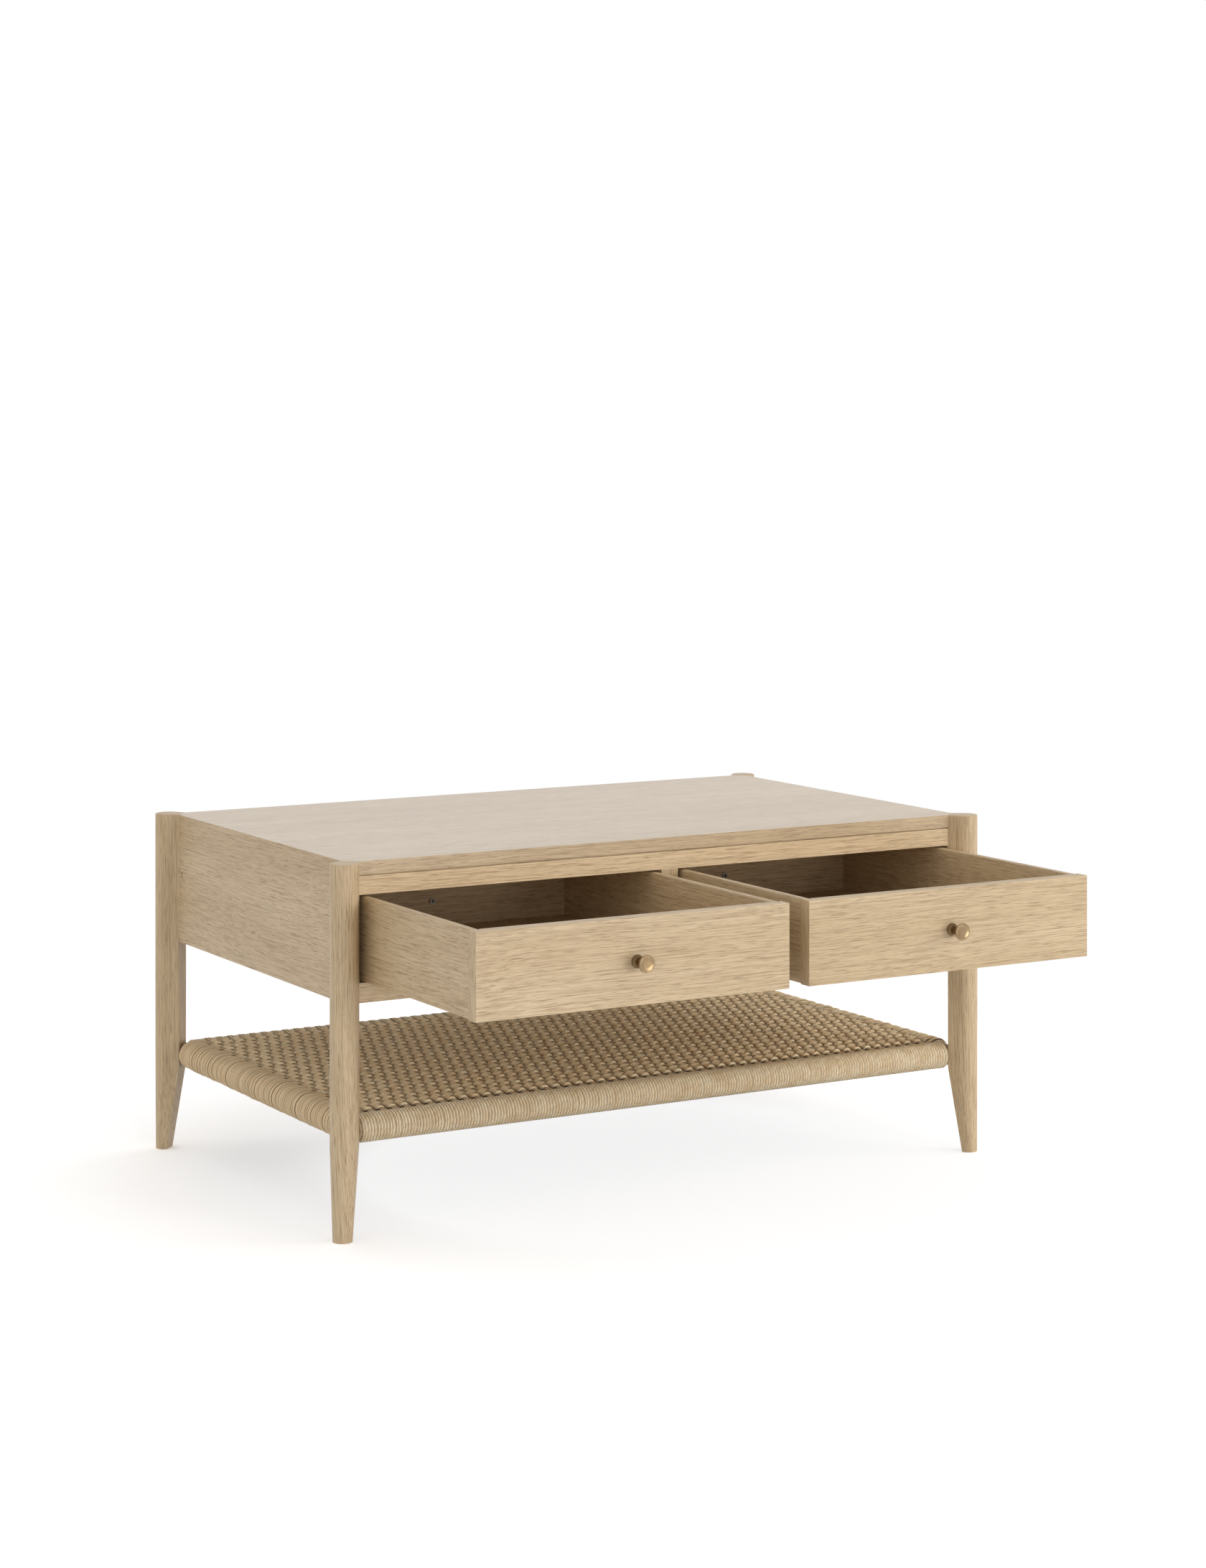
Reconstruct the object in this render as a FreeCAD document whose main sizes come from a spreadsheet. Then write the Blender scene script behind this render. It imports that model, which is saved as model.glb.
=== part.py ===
import FreeCAD, Part
import math
import os
from types import SimpleNamespace

import Sketcher

doc = FreeCAD.newDocument("storage_coffee_table")

# Driving dimensions in millimetres.
SIZES = {
    # Case: a box of boards with its four upright edges cut off for the legs.
    "table_height": 450.0,
    "case_width": 905.6,
    "case_depth": 538.2,
    "board_thick": 17.2,
    "top_thick": 16.2,
    "top_rail_height": 24.3,
    "bottom_rail_height": 23.8,
    "opening_height": 105.8,
    "upright_thick": 24.0,
    "shadow_height": 1.8,
    "shadow_depth": 4.0,
    # Legs: a flat against the cut corner, two flanks and a round nose.
    "leg_nose_radius": 17.0,
    "leg_nose_offset": 8.6,
    "taper_height": 112.0,
    "foot_nose_radius": 12.0,
    "foot_nose_offset": 13.2,
    "foot_flat_offset": 6.6,
    "foot_half_flat": 10.4,
    "leg_top_bevel": 0.8,
    # Woven shelf: round rails wrapped in cord and the woven field between them.
    "shelf_axis_height": 127.6,
    "shelf_rail_diameter": 29.5,
    "front_rail_inset": 12.8,
    "side_rail_inset": 17.3,
    "cord_diameter": 3.0,
    "field_thick": 7.6,
    "field_rise": 0.5,
    "field_edge": 8.0,
    # Drawers, shown pulled out of the case.
    "drawer_open": 295.4,
    "drawer_side_gap": 2.1,
    "drawer_lift": 1.8,
    "drawer_head_gap": 2.5,
    "front_thick": 18.0,
    "drawer_side_thick": 9.0,
    "drawer_side_inset": 3.8,
    "side_edge_round": 2.0,
    "housing_depth": 5.0,
    "drawer_bottom_thick": 6.0,
    "drawer_bottom_lift": 11.5,
    "groove_depth": 4.5,
    # Knobs turned from brass.
    "knob_projection": 23.0,
    "knob_head_diameter": 22.0,
    "knob_head_thick": 3.6,
    "knob_rim_width": 1.6,
    "knob_dish_depth": 0.7,
    "knob_neck_diameter": 9.0,
    "knob_foot_diameter": 15.4,
    "knob_foot_thick": 2.2,
    "knob_neck_flare": 2.0,
    "knob_edge_bevel": 0.6,
    "knob_bore_depth": 12.0,
    # Runners below the drawers and kickers above them.
    "runner_width": 24.0,
    "runner_height": 20.0,
    "tenon_length": 6.0,
    "tenon_shoulder": 4.0,
    # Dowels and screws.
    "leg_dowel_diameter": 8.0,
    "leg_dowel_depth": 15.0,
    "leg_dowel_seat": 9.0,
    "leg_dowel_low": 50.0,
    "leg_dowel_high": 60.0,
    "rail_dowel_diameter": 6.0,
    "rail_dowel_depth": 15.0,
    "rail_dowel_seat": 7.5,
    "rail_dowel_spacing": 12.0,
    "rail_dowel_inset": 12.0,
    "upright_dowel_inset": 6.6,
    "screw_diameter": 4.0,
    "screw_head_diameter": 8.0,
    "screw_head_height": 2.6,
    "screw_bite": 10.0,
    "screw_sink": 6.0,
    "screw_margin": 60.0,
    # Clearances.
    "running_gap": 0.3,
    "wood_gap": 0.1,
    "bore_gap": 0.2,
    "wrap_gap": 0.2,
    "overrun": 40.0,
}

sheet = doc.addObject("Spreadsheet::Sheet", "dims")
for row, (name, number) in enumerate(SIZES.items(), start=1):
    sheet.set(f"A{row}", name)
    sheet.set(f"B{row}", str(number))
    sheet.setAlias(f"B{row}", name)
doc.recompute()


# A size keeps its number together with the expression that binds it to the sheet.
class Size:
    def __init__(self, value, text):
        self.value = value
        self.text = text

    def __add__(self, other):
        other = as_size(other)
        return Size(self.value + other.value, f"({self.text} + {other.text})")

    def __sub__(self, other):
        other = as_size(other)
        return Size(self.value - other.value, f"({self.text} - {other.text})")

    def __mul__(self, factor):
        return Size(self.value * factor, f"({self.text} * {factor})")

    def __truediv__(self, factor):
        return Size(self.value / factor, f"({self.text} / {factor})")

    def __neg__(self):
        return Size(-self.value, f"(-1 * {self.text})")

    __radd__ = __add__
    __rmul__ = __mul__


def as_size(item):
    return item if isinstance(item, Size) else Size(item, str(item))


def bind(item, path, size):
    item.setExpression(path, as_size(size).text)


d = SimpleNamespace(**{name: Size(sheet.get(name), f"dims.{name}") for name in SIZES})

SIDES = (("left", -1), ("right", 1))
ENDS = (("front", -1), ("rear", 1))
DIAGONAL_SHARE = math.sqrt(0.5)
SAME_PLACE = 1e-4

# Levels and planes that several pieces share, from the centre of the table on the floor.
half_width = d.case_width / 2
half_depth = d.case_depth / 2
inner_half_width = half_width - d.board_thick
inner_half_depth = half_depth - d.board_thick
top_underside = d.table_height - d.top_thick
opening_top = top_underside - d.top_rail_height
opening_bottom = opening_top - d.opening_height
case_bottom = opening_bottom - d.bottom_rail_height
drawer_level = opening_bottom + d.drawer_lift
runner_top = drawer_level - d.running_gap
kicker_height = d.top_rail_height

# The origin lies on the floor in the middle of the whole footprint, open drawers and knobs included.
leg_reach = d.leg_nose_offset * DIAGONAL_SHARE + d.leg_nose_radius
table_y = (d.drawer_open + d.knob_projection - leg_reach) / 2

pieces = []


def place(item, x=0, y=0, z=0, turn=0):
    item.Placement = FreeCAD.Placement(FreeCAD.Vector(), FreeCAD.Rotation(FreeCAD.Vector(0, 0, 1), turn))
    for axis, size in zip("xyz", (x, y, z)):
        bind(item, f".Placement.Base.{axis}", size)


def new_body(label):
    body = doc.addObject("PartDesign::Body", label)
    body.Label = label
    pieces.append(body)
    return body


def sketch_on(body, role, lift=0):
    sketch = body.newObject("Sketcher::SketchObject", "Sketch")
    plane = next(item for item in body.Origin.OriginFeatures if item.Role == role)
    sketch.AttachmentSupport = (plane, "")
    sketch.MapMode = "FlatFace"
    bind(sketch, ".AttachmentOffset.Base.z", lift)
    return sketch


def fix(sketch, kind, size, *where):
    size = as_size(size)
    index = sketch.addConstraint(Sketcher.Constraint(kind, *where, size.value))
    bind(sketch, f"Constraints[{index}]", size)


def fix_point(sketch, curve, end, x, y):
    fix(sketch, "DistanceX", x, -1, 1, curve, end)
    fix(sketch, "DistanceY", y, -1, 1, curve, end)


def outline(sketch, points):
    spots = [FreeCAD.Vector(as_size(x).value, as_size(y).value, 0) for x, y in points]
    count = len(points)
    first = sketch.GeometryCount
    for index in range(count):
        sketch.addGeometry(Part.LineSegment(spots[index], spots[(index + 1) % count]), False)
    for index in range(count):
        following = first + (index + 1) % count
        sketch.addConstraint(Sketcher.Constraint("Coincident", first + index, 2, following, 1))
    for index, (x, y) in enumerate(points):
        fix_point(sketch, first + index, 1, x, y)


def rectangle(sketch, x0, y0, x1, y1):
    outline(sketch, [(x0, y0), (x1, y0), (x1, y1), (x0, y1)])


def circle(sketch, x, y, diameter):
    centre = FreeCAD.Vector(as_size(x).value, as_size(y).value, 0)
    curve = sketch.addGeometry(Part.Circle(centre, FreeCAD.Vector(0, 0, 1), diameter.value / 2), False)
    fix_point(sketch, curve, 3, x, y)
    fix(sketch, "Diameter", diameter, curve)


def pad(body, sketch, length, side="One side"):
    feature = body.newObject("PartDesign::Pad", "Pad")
    feature.Profile = sketch
    feature.SideType = side
    bind(feature, "Length", length)
    return feature


# Cuts reach the same length to both sides of the sketch.
def cut_through(body, sketch, length):
    feature = body.newObject("PartDesign::Pocket", "Pocket")
    feature.Profile = sketch
    feature.SideType = "Symmetric"
    bind(feature, "Length", length)
    return feature


def bore(body, start, direction, diameter, depth):
    drill = body.newObject("PartDesign::SubtractiveCylinder", "Bore")
    aim(drill, start, direction)
    bind(drill, "Radius", diameter / 2)
    bind(drill, "Height", depth)


def aim(item, start, direction):
    turn = FreeCAD.Rotation(FreeCAD.Vector(0, 0, 1), FreeCAD.Vector(*direction))
    item.Placement = FreeCAD.Placement(FreeCAD.Vector(), turn)
    for axis, size in zip("xyz", start):
        bind(item, f".Placement.Base.{axis}", size)


def finish_edges(body, kind, measure, chosen, size):
    doc.recompute()
    base = body.Tip
    names = [f"Edge{index}" for index, edge in enumerate(base.Shape.Edges, start=1) if chosen(edge)]
    feature = body.newObject(f"PartDesign::{kind}", kind)
    feature.Base = (base, names)
    bind(feature, measure, size)


def round_edges(body, chosen, radius):
    finish_edges(body, "Fillet", "Radius", chosen, radius)


def bevel_edges(body, chosen, width):
    finish_edges(body, "Chamfer", "Size", chosen, width)


def at_level(edge, level):
    return all(abs(spot.Point.z - level.value) < SAME_PLACE for spot in edge.Vertexes)


def rod(start, direction, diameter, length):
    item = doc.addObject("Part::Cylinder", "Rod")
    aim(item, start, direction)
    bind(item, "Radius", diameter / 2)
    bind(item, "Height", length)
    return item


# A screw lies with the underside of its head at the start and points along its direction.
def screw(start, direction, length):
    shank = rod(start, direction, d.screw_diameter, length)
    head_start = [size - d.screw_head_height * part for size, part in zip(start, direction)]
    head = rod(head_start, direction, d.screw_head_diameter, d.screw_head_height)
    item = doc.addObject("Part::Fuse", "Screw")
    item.Base = shank
    item.Tool = head
    return item


def group(label, items):
    bundle = doc.addObject("Part::Compound", label)
    bundle.Label = label
    bundle.Links = items
    pieces.append(bundle)
    return bundle


def moved(point, direction, distance):
    return [as_size(size) + distance * part for size, part in zip(point, direction)]


# Dowels of the legs: two join each leg to the corner of the case, one to the corner of the shelf.
case_dowel_levels = (case_bottom + d.leg_dowel_low, d.table_height - d.leg_dowel_high)
shelf_x = half_width - d.side_rail_inset
shelf_y = half_depth - d.front_rail_inset
shelf_skew = (d.front_rail_inset - d.side_rail_inset) / 2
cut_middle_x = half_width - d.board_thick / 2
cut_middle_y = half_depth - d.board_thick / 2


def leg_direction(side, end):
    return (side * DIAGONAL_SHARE, end * DIAGONAL_SHARE, 0)


# The shelf's mitres meet the flat of the leg a little beside its middle.
def leg_dowel_seats(side, end):
    seats = [(cut_middle_x * side, cut_middle_y * end, level) for level in case_dowel_levels]
    shelf_seat_x = (cut_middle_x + shelf_skew) * side
    shelf_seat_y = (cut_middle_y - shelf_skew) * end
    return seats, (shelf_seat_x, shelf_seat_y, d.shelf_axis_height)


# Top board: mitred to the side panels, with cut corners.
def make_top():
    body = new_body("top_panel")
    plan = sketch_on(body, "XY_Plane", top_underside)
    outline(plan, [
        (-inner_half_width, -half_depth), (inner_half_width, -half_depth),
        (half_width, -inner_half_depth), (half_width, inner_half_depth),
        (inner_half_width, half_depth), (-inner_half_width, half_depth),
        (-half_width, inner_half_depth), (-half_width, -inner_half_depth),
    ])
    pad(body, plan, d.top_thick)
    mitres = sketch_on(body, "XZ_Plane")
    for name, side in SIDES:
        outline(mitres, [
            (inner_half_width * side, top_underside), (half_width * side, d.table_height),
            ((half_width + d.overrun) * side, d.table_height),
            ((half_width + d.overrun) * side, top_underside),
        ])
    cut_through(body, mitres, d.case_depth)
    for spot in top_screw_spots():
        bore(body, (spot[0], spot[1], top_underside), (0, 0, 1), d.screw_diameter + d.bore_gap,
             d.screw_bite + d.bore_gap)
    place(body, y=table_y)


# Side panel: its ends are cut at 45 degrees for the legs, its top edge is mitred to the top board.
def make_side_panel(name, side):
    body = new_body(f"{name}_side_panel")
    plan = sketch_on(body, "XY_Plane", case_bottom)
    outline(plan, [
        (half_width * side, -inner_half_depth), (half_width * side, inner_half_depth),
        (inner_half_width * side, half_depth), (inner_half_width * side, -half_depth),
    ])
    pad(body, plan, d.table_height - case_bottom)
    mitre = sketch_on(body, "XZ_Plane")
    outline(mitre, [
        (inner_half_width * side, top_underside), (half_width * side, d.table_height),
        (half_width * side, d.table_height + d.overrun),
        ((inner_half_width - d.overrun) * side, d.table_height + d.overrun),
        ((inner_half_width - d.overrun) * side, top_underside),
    ])
    cut_through(body, mitre, d.case_depth)
    for end_name, end in ENDS:
        inward = leg_direction(-side, -end)
        for seat in leg_dowel_seats(side, end)[0]:
            bore(body, seat, inward, d.leg_dowel_diameter + d.bore_gap, d.leg_dowel_seat + d.bore_gap)
        for seat in rail_dowel_seats(side, end):
            bore(body, seat, (side, 0, 0), d.rail_dowel_diameter + d.bore_gap,
                 d.rail_dowel_seat + d.bore_gap)
    for seat in runner_screw_seats(side):
        bore(body, seat, (side, 0, 0), d.screw_diameter + d.bore_gap, d.screw_bite + d.bore_gap)
    place(body, y=table_y)


# Two dowels hold each end of each rail to the side panel.
def rail_dowel_seats(side, end):
    y = (half_depth - d.rail_dowel_inset) * end
    middles = (top_underside - d.top_rail_height / 2, case_bottom + d.bottom_rail_height / 2)
    offsets = (-d.rail_dowel_spacing / 2, d.rail_dowel_spacing / 2)
    return [(inner_half_width * side, y, middle + offset) for middle in middles for offset in offsets]


# One dowel stands in each joint of the upright with a rail.
def upright_dowel_seats(end):
    y = (half_depth - d.upright_dowel_inset) * end
    return [((as_size(0), y, opening_bottom), -1), ((as_size(0), y, opening_top), 1)]


def add_rail_bores(body, end, low, high):
    for name, side in SIDES:
        for seat in rail_dowel_seats(side, end):
            if low.value < seat[2].value < high.value:
                bore(body, seat, (-side, 0, 0), d.rail_dowel_diameter + d.bore_gap,
                     d.rail_dowel_depth + d.bore_gap)
    for seat, way in upright_dowel_seats(end):
        if low.value <= seat[2].value <= high.value:
            bore(body, seat, (0, 0, way), d.rail_dowel_diameter + d.bore_gap,
                 d.rail_dowel_depth + d.bore_gap)


# Mortise in the inner face of a rail for the stub tenon of the centre runner or kicker.
def add_mortise(body, end, low, high):
    hole = sketch_on(body, "YZ_Plane")
    inner = inner_half_depth * end
    deep = (inner_half_depth + d.tenon_length + d.wood_gap) * end
    rectangle(hole, inner, low + d.tenon_shoulder - d.wood_gap, deep, high - d.tenon_shoulder + d.wood_gap)
    cut_through(body, hole, centre_width - (d.tenon_shoulder - d.wood_gap) * 2)


centre_width = d.upright_thick + d.runner_width * 2
runner_bottom = runner_top - d.runner_height


# Top rail, with the shadow groove that parts it from the top board.
def make_top_rail(name, end):
    body = new_body(f"{name}_top_rail")
    section = sketch_on(body, "YZ_Plane")
    groove_y = (half_depth - d.shadow_depth) * end
    outline(section, [
        (inner_half_depth * end, opening_top), (half_depth * end, opening_top),
        (half_depth * end, top_underside - d.shadow_height), (groove_y, top_underside - d.shadow_height),
        (groove_y, top_underside), (inner_half_depth * end, top_underside),
    ])
    pad(body, section, inner_half_width * 2, "Symmetric")
    add_mortise(body, end, opening_top, top_underside)
    add_rail_bores(body, end, opening_top, top_underside)
    place(body, y=table_y)


def make_bottom_rail(name, end):
    body = new_body(f"{name}_bottom_rail")
    section = sketch_on(body, "YZ_Plane")
    rectangle(section, inner_half_depth * end, case_bottom, half_depth * end, opening_bottom)
    pad(body, section, inner_half_width * 2, "Symmetric")
    add_mortise(body, end, runner_bottom, runner_top)
    add_rail_bores(body, end, case_bottom, opening_bottom)
    place(body, y=table_y)


# Upright between the drawers, as deep as the case.
def make_upright():
    body = new_body("centre_upright")
    face = sketch_on(body, "XY_Plane", opening_bottom)
    rectangle(face, -d.upright_thick / 2, -half_depth, d.upright_thick / 2, half_depth)
    pad(body, face, d.opening_height)
    for name, end in ENDS:
        for seat, way in upright_dowel_seats(end):
            bore(body, seat, (0, 0, -way), d.rail_dowel_diameter + d.bore_gap,
                 d.rail_dowel_seat + d.bore_gap)
    place(body, y=table_y)


# Screws of the side runners go sideways into the panels, those of the kickers up into the top board.
screw_rows = (-inner_half_depth + d.screw_margin, as_size(0), inner_half_depth - d.screw_margin)
side_strip_x = inner_half_width - d.runner_width / 2


def runner_screw_seats(side):
    level = runner_top - d.runner_height / 2
    return [(inner_half_width * side, row, level) for row in screw_rows]


def kicker_screw_spots(x):
    return [(x, row) for row in screw_rows]


def top_screw_spots():
    return [spot for x in (-side_strip_x, as_size(0), side_strip_x) for spot in kicker_screw_spots(x)]


# Sunk screw hole: a narrow bore right through and a wide one for the head.
def sunk_hole(body, start, direction, depth):
    bore(body, start, direction, d.screw_diameter + d.bore_gap, depth)
    bore(body, start, direction, d.screw_head_diameter + d.bore_gap, d.screw_sink + d.screw_head_height)


def make_side_runner(name, side):
    body = new_body(f"{name}_runner")
    section = sketch_on(body, "XZ_Plane")
    inner_x = inner_half_width - d.runner_width
    rectangle(section, inner_x * side, runner_bottom, inner_half_width * side, runner_top)
    pad(body, section, inner_half_depth * 2, "Symmetric")
    for seat in runner_screw_seats(side):
        sunk_hole(body, (inner_x * side, seat[1], seat[2]), (side, 0, 0), d.runner_width)
    place(body, y=table_y)


def make_side_kicker(name, side):
    body = new_body(f"{name}_kicker")
    section = sketch_on(body, "XZ_Plane")
    inner_x = inner_half_width - d.runner_width
    rectangle(section, inner_x * side, opening_top, inner_half_width * side, top_underside)
    pad(body, section, inner_half_depth * 2, "Symmetric")
    for x, y in kicker_screw_spots(side_strip_x * side):
        sunk_hole(body, (x, y, opening_top), (0, 0, 1), kicker_height)
    place(body, y=table_y)


# Stub tenons at both ends of a centre strip.
def add_tenons(body, low, high):
    section = sketch_on(body, "XZ_Plane")
    half = centre_width / 2 - d.tenon_shoulder
    rectangle(section, -half, low + d.tenon_shoulder, half, high - d.tenon_shoulder)
    pad(body, section, (inner_half_depth + d.tenon_length) * 2, "Symmetric")


# The centre runner carries both drawers and holds the upright in a shallow groove.
def make_centre_runner():
    body = new_body("centre_runner")
    section = sketch_on(body, "XZ_Plane")
    half = centre_width / 2
    groove = d.upright_thick / 2 + d.wood_gap
    outline(section, [
        (-half, runner_bottom), (half, runner_bottom), (half, runner_top), (groove, runner_top),
        (groove, opening_bottom), (-groove, opening_bottom), (-groove, runner_top), (-half, runner_top),
    ])
    pad(body, section, inner_half_depth * 2, "Symmetric")
    add_tenons(body, runner_bottom, runner_top)
    place(body, y=table_y)


def make_centre_kicker():
    body = new_body("centre_kicker")
    section = sketch_on(body, "XZ_Plane")
    half = centre_width / 2
    rectangle(section, -half, opening_top, half, top_underside)
    pad(body, section, inner_half_depth * 2, "Symmetric")
    add_tenons(body, opening_top, top_underside)
    for x, y in kicker_screw_spots(as_size(0)):
        sunk_hole(body, (x, y, opening_top), (0, 0, 1), kicker_height)
    place(body, y=table_y)


# Section of a leg in its own frame, +X pointing out of the corner: a flat, two flanks that leave its
# arrises, and the round nose that both flanks run into.
def leg_section(sketch, flat, half_flat, nose_offset, nose_radius):
    flat = as_size(flat)
    reach = math.hypot(nose_offset.value - flat.value, half_flat.value)
    bearing = math.atan2(half_flat.value, nose_offset.value - flat.value)
    swing = math.asin(nose_radius.value / reach) - bearing
    run = math.sqrt(reach ** 2 - nose_radius.value ** 2)
    low = FreeCAD.Vector(flat.value, -half_flat.value, 0)
    high = FreeCAD.Vector(flat.value, half_flat.value, 0)
    low_touch = low + FreeCAD.Vector(math.cos(swing), -math.sin(swing), 0) * run
    high_touch = high + FreeCAD.Vector(math.cos(swing), math.sin(swing), 0) * run
    nose = FreeCAD.Vector(nose_offset.value + nose_radius.value, 0, 0)
    sketch.addGeometry(Part.LineSegment(high, low), False)
    sketch.addGeometry(Part.LineSegment(low, low_touch), False)
    sketch.addGeometry(Part.Arc(low_touch, nose, high_touch), False)
    sketch.addGeometry(Part.LineSegment(high_touch, high), False)
    sketch.addConstraint(Sketcher.Constraint("Coincident", 0, 2, 1, 1))
    sketch.addConstraint(Sketcher.Constraint("Tangent", 1, 2, 2, 1))
    sketch.addConstraint(Sketcher.Constraint("Tangent", 2, 2, 3, 1))
    sketch.addConstraint(Sketcher.Constraint("Coincident", 3, 2, 0, 1))
    fix_point(sketch, 0, 1, flat, half_flat)
    fix_point(sketch, 0, 2, flat, -half_flat)
    fix_point(sketch, 2, 3, nose_offset, as_size(0))
    fix(sketch, "Radius", nose_radius, 2)


# Leg: straight from the taper up, and drawn in on its inner side down to the foot.
def make_leg(label, side, end):
    body = new_body(label)
    flat = -d.board_thick * DIAGONAL_SHARE
    half_flat = d.board_thick * DIAGONAL_SHARE
    foot = sketch_on(body, "XY_Plane")
    leg_section(foot, d.foot_flat_offset, d.foot_half_flat, d.foot_nose_offset, d.foot_nose_radius)
    shank = sketch_on(body, "XY_Plane", d.taper_height)
    leg_section(shank, flat, half_flat, d.leg_nose_offset, d.leg_nose_radius)
    taper = body.newObject("PartDesign::AdditiveLoft", "Taper")
    taper.Profile = foot
    taper.Sections = [shank]
    taper.Ruled = True
    pad(body, shank, d.table_height - d.taper_height)
    for level in case_dowel_levels:
        bore(body, (flat, as_size(0), level), (1, 0, 0), d.leg_dowel_diameter + d.bore_gap,
             d.leg_dowel_depth + d.bore_gap)
    skew = shelf_skew / DIAGONAL_SHARE * (-side * end)
    bore(body, (flat, skew, d.shelf_axis_height), (1, 0, 0), d.leg_dowel_diameter + d.bore_gap,
         d.leg_dowel_depth + d.bore_gap)
    bevel_edges(body, lambda edge: on_top_rim(edge, flat), d.leg_top_bevel)
    turn = math.degrees(math.atan2(end, side))
    place(body, half_width * side, table_y + half_depth * end, 0, turn)


def on_top_rim(edge, flat):
    on_flat = all(abs(spot.Point.x - flat.value) < SAME_PLACE for spot in edge.Vertexes)
    return at_level(edge, d.table_height) and not on_flat


# Plan of what is cut off a shelf rail's end: the mitre to the next rail, the flat of the leg and, past
# the arris of the leg, a square end. It is drawn for the rail's +X end, with the case's face at -Y.
mitre_reach = d.shelf_rail_diameter


def end_cut(run_axis, run_face, cross_axis, cross_face):
    corner_run = (run_axis + run_face + cross_face - cross_axis - d.board_thick) / 2
    corner_cross = (run_face + cross_face - d.board_thick) - corner_run
    return [
        (run_axis - mitre_reach, cross_axis - mitre_reach),
        (corner_run, corner_cross),
        (run_face - d.board_thick, cross_face),
        (run_face - d.board_thick, cross_face + d.overrun),
        (run_face + d.overrun, cross_face + d.overrun),
        (run_face + d.overrun, cross_axis - mitre_reach),
    ]


def cut_ends(body, points, along_x, outward):
    plan = sketch_on(body, "XY_Plane", d.shelf_axis_height)
    for way in (-1, 1):
        if along_x:
            outline(plan, [(run * way, cross * outward) for run, cross in points])
        else:
            outline(plan, [(cross * outward, run * way) for run, cross in points])
    cut_through(body, plan, d.overrun * 2)


def shelf_side(along_x):
    if along_x:
        return shelf_y, end_cut(shelf_x, half_width, shelf_y, half_depth), half_width
    return shelf_x, end_cut(shelf_y, half_depth, shelf_x, half_width), half_depth


# Round rail of the shelf, mitred to its neighbours and notched for the dowels of the legs.
def make_shelf_rail(name, along_x, outward):
    body = new_body(f"{name}_shelf_rail")
    axis, points, reach = shelf_side(along_x)
    section = sketch_on(body, "YZ_Plane" if along_x else "XZ_Plane")
    circle(section, axis * outward, d.shelf_axis_height, d.shelf_rail_diameter)
    pad(body, section, reach * 2, "Symmetric")
    cut_ends(body, points, along_x, outward)
    for way in (-1, 1):
        side, end = (way, outward) if along_x else (outward, way)
        seat = leg_dowel_seats(side, end)[1]
        bore(body, seat, leg_direction(-side, -end), d.leg_dowel_diameter + d.bore_gap,
             d.leg_dowel_depth + d.bore_gap)
    place(body, y=table_y)


# Close winding of cord over a shelf rail.
wrap_bore = d.shelf_rail_diameter + d.wrap_gap
wrap_diameter = wrap_bore + d.cord_diameter * 2


def make_wrap(name, along_x, outward):
    body = new_body(f"{name}_rail_wrap")
    axis, points, reach = shelf_side(along_x)
    section = sketch_on(body, "YZ_Plane" if along_x else "XZ_Plane")
    circle(section, axis * outward, d.shelf_axis_height, wrap_diameter)
    circle(section, axis * outward, d.shelf_axis_height, wrap_bore)
    pad(body, section, reach * 2, "Symmetric")
    cut_ends(body, points, along_x, outward)
    place(body, y=table_y)


# Woven field: a slab as thick as the weave, whose edges lie on the wound rails.
def make_field():
    body = new_body("woven_field")
    top = d.shelf_axis_height + wrap_diameter / 2 + d.field_rise
    plan = sketch_on(body, "XY_Plane", top - d.field_thick)
    reach_x = shelf_x - d.field_edge
    reach_y = shelf_y - d.field_edge
    rectangle(plan, -reach_x, -reach_y, reach_x, reach_y)
    pad(body, plan, d.field_thick)
    clear = wrap_diameter + d.wrap_gap * 2
    for role, axis, reach in (("YZ_Plane", shelf_y, d.case_width), ("XZ_Plane", shelf_x, d.case_depth)):
        section = sketch_on(body, role)
        circle(section, -axis, d.shelf_axis_height, clear)
        circle(section, axis, d.shelf_axis_height, clear)
        cut_through(body, section, reach)
    place(body, y=table_y)


# Drawer sizes in the drawer's own frame: X from its middle, Y from its front face, Z from its lower edge.
opening_width = inner_half_width - d.upright_thick / 2
drawer_width = opening_width - d.drawer_side_gap * 2
drawer_height = d.opening_height - d.drawer_lift - d.drawer_head_gap
drawer_length = d.case_depth
drawer_x = inner_half_width - opening_width / 2
drawer_y = table_y - half_depth - d.drawer_open
side_outer = drawer_width / 2 - d.drawer_side_inset
side_inner = side_outer - d.drawer_side_thick
groove_low = d.drawer_bottom_lift - d.wood_gap
groove_high = d.drawer_bottom_lift + d.drawer_bottom_thick + d.wood_gap
floor_half_width = side_inner + d.groove_depth - d.wood_gap
floor_reach = d.front_thick - d.groove_depth + d.wood_gap
knob_level = drawer_height / 2


# Drawer front: housings for the two sides, a groove for the bottom and the bore of the knob's screw.
def make_drawer_front(label, x, y, turn):
    body = new_body(label)
    back = d.front_thick
    deep = d.front_thick - d.housing_depth - d.wood_gap
    near = side_inner - d.wood_gap
    far = side_outer + d.wood_gap
    half = drawer_width / 2
    plan = sketch_on(body, "XY_Plane")
    outline(plan, [
        (-half, 0), (half, 0), (half, back), (far, back), (far, deep), (near, deep), (near, back),
        (-near, back), (-near, deep), (-far, deep), (-far, back), (-half, back),
    ])
    pad(body, plan, drawer_height)
    groove = sketch_on(body, "YZ_Plane")
    rectangle(groove, back - d.groove_depth, groove_low, back + d.overrun, groove_high)
    cut_through(body, groove, (floor_half_width + d.wood_gap) * 2)
    bore(body, (0, 0, knob_level), (0, 1, 0), d.screw_diameter + d.bore_gap, d.front_thick)
    place(body, x, y, drawer_level, turn)


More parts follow.
